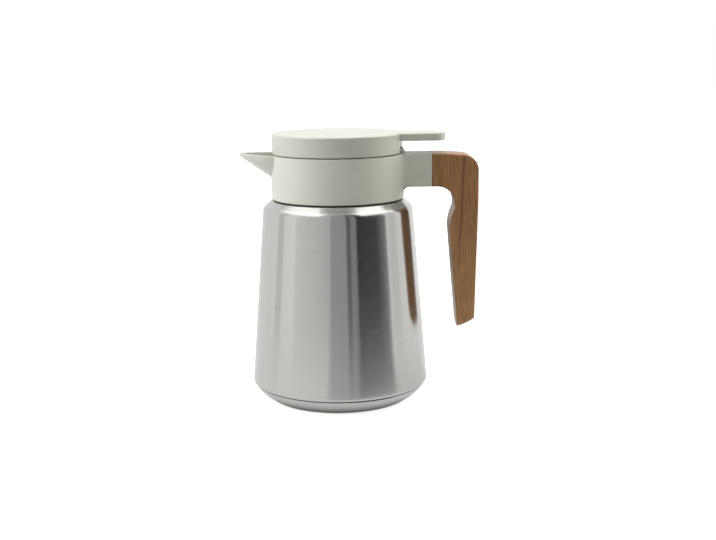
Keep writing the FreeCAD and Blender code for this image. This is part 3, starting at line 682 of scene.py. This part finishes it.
def grid_piece(name: str, points: np.ndarray, close_rows: bool,
               close_columns: bool) -> bpy.types.Object:
    """Mesh object from a grid of points, one quad between each four neighbours.

    Faces are turned so that the enclosed volume is positive, and poles are merged.

    Args:
        name: Name of the object.
        points: Grid of points, rows by columns by 3.
        close_rows: Join the last row to the first.
        close_columns: Join the last column to the first.

    Returns:
        The linked object.
    """
    rows, columns = points.shape[:2]
    i = np.arange(rows if close_rows else rows - 1)[:, None]
    j = np.arange(columns if close_columns else columns - 1)[None]
    here, below = i * columns, (i + 1) % rows * columns
    right = (j + 1) % columns
    quads = np.stack([here + j, below + j, below + right, here + right], axis=2).reshape(-1, 4)
    corners = points.reshape(-1, 3)[quads]
    volume = np.einsum("ij,ij->", corners[:, 0], np.cross(corners[:, 1], corners[:, 2]))
    volume += np.einsum("ij,ij->", corners[:, 0], np.cross(corners[:, 2], corners[:, 3]))
    if volume < 0:
        quads = quads[:, ::-1]
    mesh = bpy.data.meshes.new(name)
    mesh.from_pydata(points.reshape(-1, 3), [], quads)
    work = bmesh.new()
    work.from_mesh(mesh)
    bmesh.ops.remove_doubles(work, verts=work.verts, dist=MERGE_DISTANCE)
    work.to_mesh(mesh)
    work.free()
    mesh.shade_smooth()
    mesh.set_sharp_from_angle(angle=SHARP_EDGE)
    piece = bpy.data.objects.new(name, mesh)
    bpy.context.scene.collection.objects.link(piece)
    return piece


def carry(piece: bpy.types.Object, body: Body, finish: Finish, *nodes: str) -> None:
    """Ride a new piece on a body, give it its finish and hide the nodes it stands for.

    Args:
        piece: The new piece.
        body: Body that carries it.
        finish: Finish to put on.
        *nodes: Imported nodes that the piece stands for.
    """
    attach(piece, body.value)
    if nodes:
        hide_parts(*nodes)
    finish.dress(piece)
    LOG.info("%s: %d faces on %s", piece.name, len(piece.data.polygons), body.value)


def dress_nodes(finish: Finish, *nodes: str) -> None:
    """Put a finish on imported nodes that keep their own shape.

    Args:
        finish: Finish to put on.
        *nodes: Names of the nodes.
    """
    for node in nodes:
        finish.dress(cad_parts[node])
        LOG.info("%s: finish %s", node, finish.name)


@dataclass
class SteelBody:
    """Brushed shell and base cap, with the flask and vacuum parts inside."""

    knee_r: float = 0.0653
    lip_depth: float = 0.0029
    lip_z: float = 0.0119
    knee_round: float = 0.0018
    shoulder_r: float = 0.0550
    shoulder_z: float = 0.1432
    shoulder_round: float = 0.0060
    shoulder_slope: float = 40.0
    landing_z: float = 0.1483
    landing_round: float = 0.0016
    neck_r: float = 0.0375
    neck_round: float = 0.0025
    rim_z: float = 0.1640
    wall: float = 0.0008
    seam_r: float = 0.0640
    seam_z: float = 0.0114
    base_r: float = 0.0510
    base_rise: float = 0.0005
    base_bulge: float = 0.00124
    bulge_reach: float = 0.9
    base_edge: float = 0.0008
    recess_r: float = 0.0453
    recess_z: float = 0.0020
    spigot_r: float = 0.06005
    spigot_z: float = 0.0138
    pitch: float = 0.002
    arc_steps: int = 12
    segments: int = 256
    thread_height: float = 0.00028
    thread_half: float = 0.0011
    thread_lead: float = 0.005
    thread_turns: float = 1.6
    thread_z: float = 0.1535
    thread_fade: float = 0.5
    thread_tail: float = 0.02
    thread_sink: float = -0.2
    thread_steps: int = 240
    thread_sides: int = 16

    def build(self) -> None:
        """Make and dress every piece of the body."""
        carry(self.shell(), Body.VESSEL, BODY_STEEL, "outer_shell")
        carry(self.base(), Body.VESSEL, BODY_STEEL, "base_cap")
        carry(self.thread("neck_thread", self.neck_r, 1.0, 0.0), Body.VESSEL, BODY_STEEL)
        dress_nodes(FLASK_STEEL, "inner_flask", "flask_bottom", "bottom_plate")
        dress_nodes(BRASS, "vacuum_seal")
        dress_nodes(FASTENER_STEEL, "getter")
        dress_nodes(DARK_SILICONE, "base_pad")

    def walled(self, corners: list[tuple[float, float, float]]) -> np.ndarray:
        """Closed profile of a sheet: out along a path and back along its inner side.

        Args:
            corners: (r, z, radius) of each corner of the outer side.

        Returns:
            Rows of (r, z).
        """
        outer = np.array(corners)
        inner = beside(outer, self.wall)
        there = rounded_path(outer, self.pitch, self.arc_steps)
        back = rounded_path(inner, self.pitch, self.arc_steps)[::-1]
        return np.concatenate([there, back])

    def shell(self) -> bpy.types.Object:
        """Cone, shoulder and neck, turned from one rounded sheet profile.

        Returns:
            The shell.
        """
        run = (self.landing_z - self.shoulder_z) / math.tan(math.radians(self.shoulder_slope))
        corners = [
            (self.knee_r - self.lip_depth, self.lip_z, 0),
            (self.knee_r, self.lip_z, self.knee_round),
            (self.shoulder_r, self.shoulder_z, self.shoulder_round),
            (self.shoulder_r - run, self.landing_z, self.landing_round),
            (self.neck_r, self.landing_z, self.neck_round),
            (self.neck_r, self.rim_z, 0),
        ]
        profile = self.walled(corners)
        return grid_piece("steel_shell", turned(profile, self.segments), True, True)

    def base(self) -> bpy.types.Object:
        """Dish with a bulged side: the bulge is a round between two tangents of the side.

        Returns:
            The base.
        """
        low = np.array([self.base_r, self.base_rise])
        high = np.array([self.seam_r, self.seam_z])
        way = (high - low) / np.linalg.norm(high - low)
        belly = (low + high) / 2 + np.array([way[1], -way[0]]) * 2 * self.base_bulge
        side = float(np.linalg.norm(belly - low))
        tilt = math.asin(2 * self.base_bulge / side)
        corners = [
            (0, self.recess_z, 0),
            (self.recess_r, self.recess_z, self.base_edge / 2),
            (self.recess_r, self.base_rise, self.base_edge / 2),
            (self.base_r, self.base_rise, self.base_edge),
            (belly[0], belly[1], self.bulge_reach * side / math.tan(tilt)),
            (self.seam_r, self.seam_z, self.base_edge / 2),
            (self.spigot_r, self.seam_z, 0),
            (self.spigot_r, self.spigot_z, 0),
        ]
        profile = self.walled(corners)
        return grid_piece("steel_base", turned(profile, self.segments), True, True)

    def thread(self, name: str, radius: float, outward: float, phase: float) -> bpy.types.Object:
        """Helical ridge: an ellipse cut flat in the wall, carried along a helix, thin at its ends.

        Args:
            name: Name of the piece.
            radius: Radius of the wall that it stands on.
            outward: 1 for a ridge on the outside of a wall, -1 for one on the inside.
            phase: Start angle in radians.

        Returns:
            The ridge.
        """
        t = np.linspace(0, 2 * math.pi * self.thread_turns, self.thread_steps)[:, None]
        s = np.linspace(0, 2 * math.pi, self.thread_sides, endpoint=False)[None]
        fade = np.clip(np.minimum(t, t[-1] - t) / self.thread_fade, self.thread_tail, 1)
        r = radius + outward * np.maximum(np.sin(s), self.thread_sink) * self.thread_height * fade
        climb = self.thread_lead * t / (2 * math.pi)
        z = self.thread_z + climb + np.cos(s) * self.thread_half * fade
        angle = np.broadcast_to(t + phase, r.shape)
        points = np.stack([r * np.cos(angle), r * np.sin(angle), z], axis=2)
        return grid_piece(name, points, False, True)


@dataclass
class PouringHead:
    """Collar with spout and bracket, its inner liner and the gasket under it."""

    body: SteelBody
    sleeve_r: float = 0.0379

    def build(self) -> None:
        """Dress the mouldings and add the thread inside the sleeve."""
        dress_nodes(SAGE, "collar")
        dress_nodes(LINER, "pour_liner")
        dress_nodes(PALE_SILICONE, "neck_gasket")
        ridge = self.body.thread("sleeve_thread", self.sleeve_r, -1.0, math.pi)
        carry(ridge, Body.HEAD, LINER)


@dataclass
class WoodenHandle:
    """Grip and the fasteners that hold it to the bracket."""

    def build(self) -> None:
        """Dress the grip and its fasteners."""
        dress_nodes(WOOD, "handle_grip")
        dress_nodes(BRASS, "handle_inserts")
        dress_nodes(FASTENER_STEEL, "handle_washers", "handle_screws")


@dataclass
class HingedLid:
    """Lid cover, plug, seal and hinge parts, with a wound spring."""

    hinge: Point = (0.0463, 0.0, 0.1829)
    coil_r: float = 0.002
    wire_r: float = 0.0004
    coil_pitch: float = 0.00125
    coil_turns: float = 5.25
    coil_start: float = 270.0
    head_leg: float = 0.003
    lid_leg: float = 0.0036
    steps_per_turn: int = 24
    wire_sides: int = 10

    def build(self) -> None:
        """Dress the lid and its hinge, and wind the spring."""
        # The lid cover wears the darker copy of the sage plastic, which is painted shade.
        dress_nodes(SAGE_SHADED_LID, "lid_cover")
        dress_nodes(PLUG, "lid_plug")
        dress_nodes(PALE_SILICONE, "lid_seal")
        dress_nodes(FOAM, "lid_foam")
        dress_nodes(FASTENER_STEEL, "hinge_pin")
        self.twist(self.spring())

    def spring(self) -> bpy.types.Object:
        """Round wire carried along a helix about the hinge and run out straight at both ends.

        At turning angle a, the centre line lies coil_r from the hinge at the phase coil_start - a,
        and it climbs one pitch a turn along Y. The wire's rings are spanned by the way out from the
        hinge and by the cross product of the way along with it.

        Returns:
            The spring.
        """
        total = 2 * math.pi * self.coil_turns
        climb = self.coil_pitch / (2 * math.pi)
        angle = np.linspace(0, total, int(self.coil_turns * self.steps_per_turn) + 1)
        phase = math.radians(self.coil_start) - angle
        level = np.zeros_like(angle)
        out = np.stack([np.cos(phase), level, np.sin(phase)], axis=1)
        rise = np.stack([level, climb * (angle - total / 2), level], axis=1)
        coil = np.array(self.hinge) + out * self.coil_r + rise
        along = np.stack([out[:, 2] * self.coil_r, level + climb, -out[:, 0] * self.coil_r], axis=1)
        along /= np.linalg.norm(along, axis=1, keepdims=True)
        ends = coil[[0, -1]] + along[[0, -1]] * np.array([[-self.head_leg], [self.lid_leg]])
        line = np.concatenate([ends[:1], coil, ends[1:]])
        out, along = (np.concatenate([way[:1], way, way[-1:]]) for way in (out, along))
        turn = np.linspace(0, 2 * math.pi, self.wire_sides, endpoint=False)[None, :, None]
        ring = out[:, None] * np.cos(turn) + np.cross(along, out)[:, None] * np.sin(turn)
        tube = line[:, None] + ring * self.wire_r
        caps = np.repeat(line[[0, -1], None], self.wire_sides, axis=1)
        points = np.concatenate([caps[:1], tube, caps[1:]])
        return grid_piece("spring_wire", points, False, True)

    def twist(self, spring: bpy.types.Object) -> None:
        """Fix the spring's placement into its mesh, hide the imported spring and dress the new one.

        Args:
            spring: The spring.
        """
        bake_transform(spring)
        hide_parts("lid_spring")
        FASTENER_STEEL.dress(spring)
        LOG.info("%s: %d faces between head and lid", spring.name, len(spring.data.polygons))


class Place(Enum):
    """Low and high edge of a reflection card, each as (distance from the axis, height)."""

    WALL = ((0.42, 0.001), (0.42, 1.2))
    BEFORE_WALL = ((0.41, 0.001), (0.41, 1.2))
    SKIRT = ((0.41, 0.001), (0.41, 0.09))
    OVERHEAD = ((0.40, 0.44), (0.40, 1.6))
    CEILING = ((0.001, 1.59), (0.40, 1.6))
    FRONT_FLOOR = ((0.10, 0.001), (0.42, 0.001))
    DARK_FLOOR = ((0.12, 0.001), (0.42, 0.001))
    RIGHT_FLOOR = ((0.060, 0.001), (0.20, 0.001))
    BACK_FLOOR = ((0.26, 0.001), (0.41, 0.001))


@dataclass(frozen=True)
class Card:
    """Band of card round the pitcher, between two azimuths, that only shows in reflections.

    Its brightness runs evenly from its start azimuth to its end azimuth.
    """

    name: str
    start: float
    end: float
    start_tone: float
    end_tone: float
    place: Place = Place.WALL


@dataclass(frozen=True)
class Softbox:
    """Square lamp aimed at the middle of the pitcher."""

    name: str
    azimuth: float
    elevation: float
    distance: float
    size: float
    power: float
    colour: Colour = WHITE


@dataclass
class Studio:
    """Camera, floor, reflection cards and lamps. Azimuths turn from the camera to the handle."""

    camera_distance: float = 0.85405
    camera_height: float = 0.26095
    yaw: float = 0.955
    pitch: float = 11.029
    roll: float = -0.600
    focal_px: float = 1167.4
    frame_width_px: float = 716.0
    sensor_mm: float = 36.0
    fill: float = 0.242
    fill_colour: Colour = (0.99, 1.01, 0.92)
    floor_half: float = 6.0
    floor_points: int = 3
    floor_tone: float = 0.47
    floor_lift: float = 0.80
    # Ring just outside the base where the floor is not lifted: a painted contact shadow.
    painted_contact_shadow: Span = (0.0500, 0.0530)
    whitening: Span = (0.5, 1.6)
    mirror_reach: float = 0.42
    # Tones that mirrors see on the floor by distance from the axis; the dark first stop is a painted
    # contact shadow under the base.
    mirror_tones: tuple[Span, ...] = (
        (0.053, 0.20), (0.060, 0.70), (0.070, 0.86), (0.120, 0.88), (0.420, 0.88))
    card_points: int = 48
    cards: tuple[Card, ...] = (
        Card("left_wall", -150.0, -62.0, 0.84, 0.97),
        Card("left_joint", -95.0, -83.0, 0.71, 0.71, Place.BEFORE_WALL),
        Card("left_fade", -62.0, -11.0, 0.82, 0.56),
        Card("camera_side", -11.0, 16.2, 0.38, 0.38),
        Card("narrow_flag", 10.8, 16.2, 0.10, 0.10, Place.BEFORE_WALL),
        Card("camera_edge", 16.2, 24.6, 0.26, 0.30),
        Card("dark_flag", 24.6, 53.5, 0.015, 0.03),
        Card("flag_edge", 53.5, 70.6, 0.03, 0.24),
        Card("front_apron", -13.0, 20.0, 0.60, 0.50, Place.FRONT_FLOOR),
        Card("dark_apron", 20.0, 66.0, 0.32, 0.38, Place.DARK_FLOOR),
        Card("right_apron", 66.0, 120.0, 0.72, 0.78, Place.RIGHT_FLOOR),
        Card("back_right_apron", 168.0, 180.0, 0.66, 0.66, Place.BACK_FLOOR),
        Card("back_left_apron", -180.0, -172.0, 0.66, 0.66, Place.BACK_FLOOR),
        Card("back_right_skirt", 168.0, 180.0, 0.30, 0.30, Place.SKIRT),
        Card("back_left_skirt", -180.0, -172.0, 0.30, 0.30, Place.SKIRT),
        Card("right_wall", 70.6, 120.0, 0.80, 1.0),
        Card("right_joint", 76.0, 90.0, 0.73, 0.74, Place.BEFORE_WALL),
        Card("back_right", 120.0, 180.0, 0.94, 1.0),
        Card("back_left", -180.0, -150.0, 1.0, 0.84),
        Card("left_key", -122.0, -32.0, 1.85, 1.85, Place.OVERHEAD),
        Card("right_key", 39.0, 150.0, 1.85, 1.85, Place.OVERHEAD),
        Card("ceiling", -180.0, 180.0, 0.42, 0.42, Place.CEILING),
    )
    lamp_aim: Point = (0.0, 0.0, 0.1)
    lamps: tuple[Softbox, ...] = (
        Softbox("left_softbox", -84.0, 8.0, 1.3, 1.0, 18.2, (1.0, 1.0, 1.09)),
        Softbox("right_softbox", 98.0, 8.0, 1.4, 0.9, 11.0),
        Softbox("back_softbox", 132.0, 6.0, 1.4, 0.7, 12.0),
        Softbox("top_softbox", -40.0, 86.0, 1.4, 1.2, 22.9, (1.0, 1.0, 1.04)),
    )

    def build(self) -> None:
        """Set up the studio."""
        self.camera()
        self.world()
        self.floor()
        for card in self.cards:
            self.card(card)
        for lamp in self.lamps:
            self.softbox(lamp)
        bpy.context.scene.view_settings.view_transform = "Standard"

    def camera(self) -> None:
        """Camera at the photograph's place: turned by yaw, tipped by pitch, then rolled."""
        yaw, pitch, roll = (math.radians(a) for a in (self.yaw, self.pitch, self.roll))
        level = Vector((math.sin(yaw), math.cos(yaw), 0))
        right = Vector((math.cos(yaw), -math.sin(yaw), 0))
        forward = level * math.cos(pitch) - Vector((0, 0, math.sin(pitch)))
        up = level * math.sin(pitch) + Vector((0, 0, math.cos(pitch)))
        across = right * math.cos(roll) + up * math.sin(roll)
        above = up * math.cos(roll) - right * math.sin(roll)
        data = bpy.data.cameras.new("photo_camera")
        data.sensor_fit = "HORIZONTAL"
        data.sensor_width = self.sensor_mm
        data.lens = self.focal_px * self.sensor_mm / self.frame_width_px
        lens = bpy.data.objects.new("photo_camera", data)
        lens.matrix_world = Matrix((across, above, -forward)).transposed().to_4x4()
        lens.location = (0.0, -self.camera_distance, self.camera_height)
        bpy.context.scene.collection.objects.link(lens)
        bpy.context.scene.camera = lens

    def world(self) -> None:
        """White to the eye and in reflections, with a weaker even light on the pitcher."""
        world = bpy.data.worlds.new("studio")
        world.use_nodes = True
        bpy.context.scene.world = world
        graph = Graph(world.node_tree)
        eye, gloss, through = graph.rays()
        seen = eye.larger(gloss).larger(through)
        weak = {"Color": opaque(self.fill_colour), "Strength": self.fill}
        dim = graph.node("ShaderNodeBackground", None, weak)
        white = graph.node("ShaderNodeBackground", None, {"Color": opaque(WHITE)})
        sockets = {0: seen, 1: dim.outputs[0], 2: white.outputs[0]}
        mix = graph.node("ShaderNodeMixShader", None, sockets)
        graph.node("ShaderNodeOutputWorld", None, {"Surface": mix.outputs[0]})

    def floor(self) -> None:
        """White table top, lifted to white for the eye while it keeps the pitcher's shadow.

        The lift leaves out the pitcher's footprint and a thin ring round it, a painted contact
        shadow, and grows with distance from the axis. Mirror rays see a tone by that distance
        instead: a painted contact shadow dark under the base, then even grey.
        """
        edge = np.linspace(-self.floor_half, self.floor_half, self.floor_points)
        x, y = np.meshgrid(edge, edge, indexing="ij")
        points = np.stack([x, y, np.zeros_like(x)], axis=2)
        floor = grid_piece("table_top", points, False, False)
        material, graph = new_material("table_top")
        eye, gloss, through = graph.rays()
        length = {"operation": "LENGTH"}
        away = graph.signal("ShaderNodeVectorMath", length, {0: graph.where()}, "Value")
        lift = graph.spread(away, self.whitening, (self.floor_lift, 1.0))
        # The lift is held off near the base, which paints a contact shadow there.
        lift = (eye + through) * lift * graph.spread(away, self.painted_contact_shadow)
        grey = {"Color": opaque((self.floor_tone,) * 3)}
        matte = graph.node("ShaderNodeBsdfDiffuse", None, grey)
        glow = graph.node("ShaderNodeEmission", None, {"Color": lift})
        lit = graph.node("ShaderNodeAddShader", None, {0: matte.outputs[0], 1: glow.outputs[0]})
        # Mirror rays see these painted tones, with a painted contact shadow near the base.
        stops = [(reach / self.mirror_reach, (tone,) * 3) for reach, tone in self.mirror_tones]
        tones = graph.ramp(away / self.mirror_reach, stops)
        mirror = graph.node("ShaderNodeEmission", None, {"Color": tones})
        sockets = {0: gloss, 1: lit.outputs[0], 2: mirror.outputs[0]}
        total = graph.node("ShaderNodeMixShader", None, sockets)
        graph.node("ShaderNodeOutputMaterial", None, {"Surface": total.outputs[0]})
        floor.data.materials.append(material)

    def card(self, card: Card) -> None:
        """Band of points round the axis, each row straight from the low edge to the high edge.

        Args:
            card: The card to make.
        """
        ends = (math.radians(card.start), math.radians(card.end))
        angle = np.linspace(*ends, self.card_points)[:, None]
        reach, height = np.array(card.place.value).T[:, None]
        x, y, z = np.broadcast_arrays(reach * np.sin(angle), -reach * np.cos(angle), height)
        piece = grid_piece(card.name, np.stack([x, y, z], axis=2), False, False)
        material, graph = new_material(card.name)
        across, along, _ = graph.axes()
        azimuth = across.angle(along * -1.0)
        tone = graph.spread(azimuth, ends, (card.start_tone, card.end_tone), "LINEAR")
        glow = graph.node("ShaderNodeEmission", None, {"Color": tone})
        graph.node("ShaderNodeOutputMaterial", None, {"Surface": glow.outputs[0]})
        piece.data.materials.append(material)
        piece.visible_camera = False
        piece.visible_diffuse = False
        piece.visible_shadow = False
        piece.visible_transmission = False

    def softbox(self, lamp: Softbox) -> None:
        """Square lamp on a sphere about the pitcher, facing its middle.

        Args:
            lamp: The lamp to make.
        """
        turn, rise = math.radians(lamp.azimuth), math.radians(lamp.elevation)
        level = Vector((math.sin(turn), -math.cos(turn), 0.0))
        way = level * math.cos(rise) + Vector((0.0, 0.0, math.sin(rise)))
        data = bpy.data.lights.new(lamp.name, "AREA")
        data.shape = "SQUARE"
        data.size = lamp.size
        data.energy = lamp.power
        data.color = lamp.colour
        box = bpy.data.objects.new(lamp.name, data)
        box.location = Vector(self.lamp_aim) + way * lamp.distance
        box.rotation_euler = way.to_track_quat("Z", "Y").to_euler()
        box.visible_glossy = False
        bpy.context.scene.collection.objects.link(box)


def main() -> None:
    """Build every sub-assembly, then the studio."""
    logging.basicConfig(level=logging.INFO, format="%(name)s: %(message)s")
    body = SteelBody()
    for part in (body, PouringHead(body), WoodenHandle(), HingedLid(), Studio()):
        part.build()
        LOG.info("%s done", type(part).__name__)


if __name__ == "__main__":
    main()
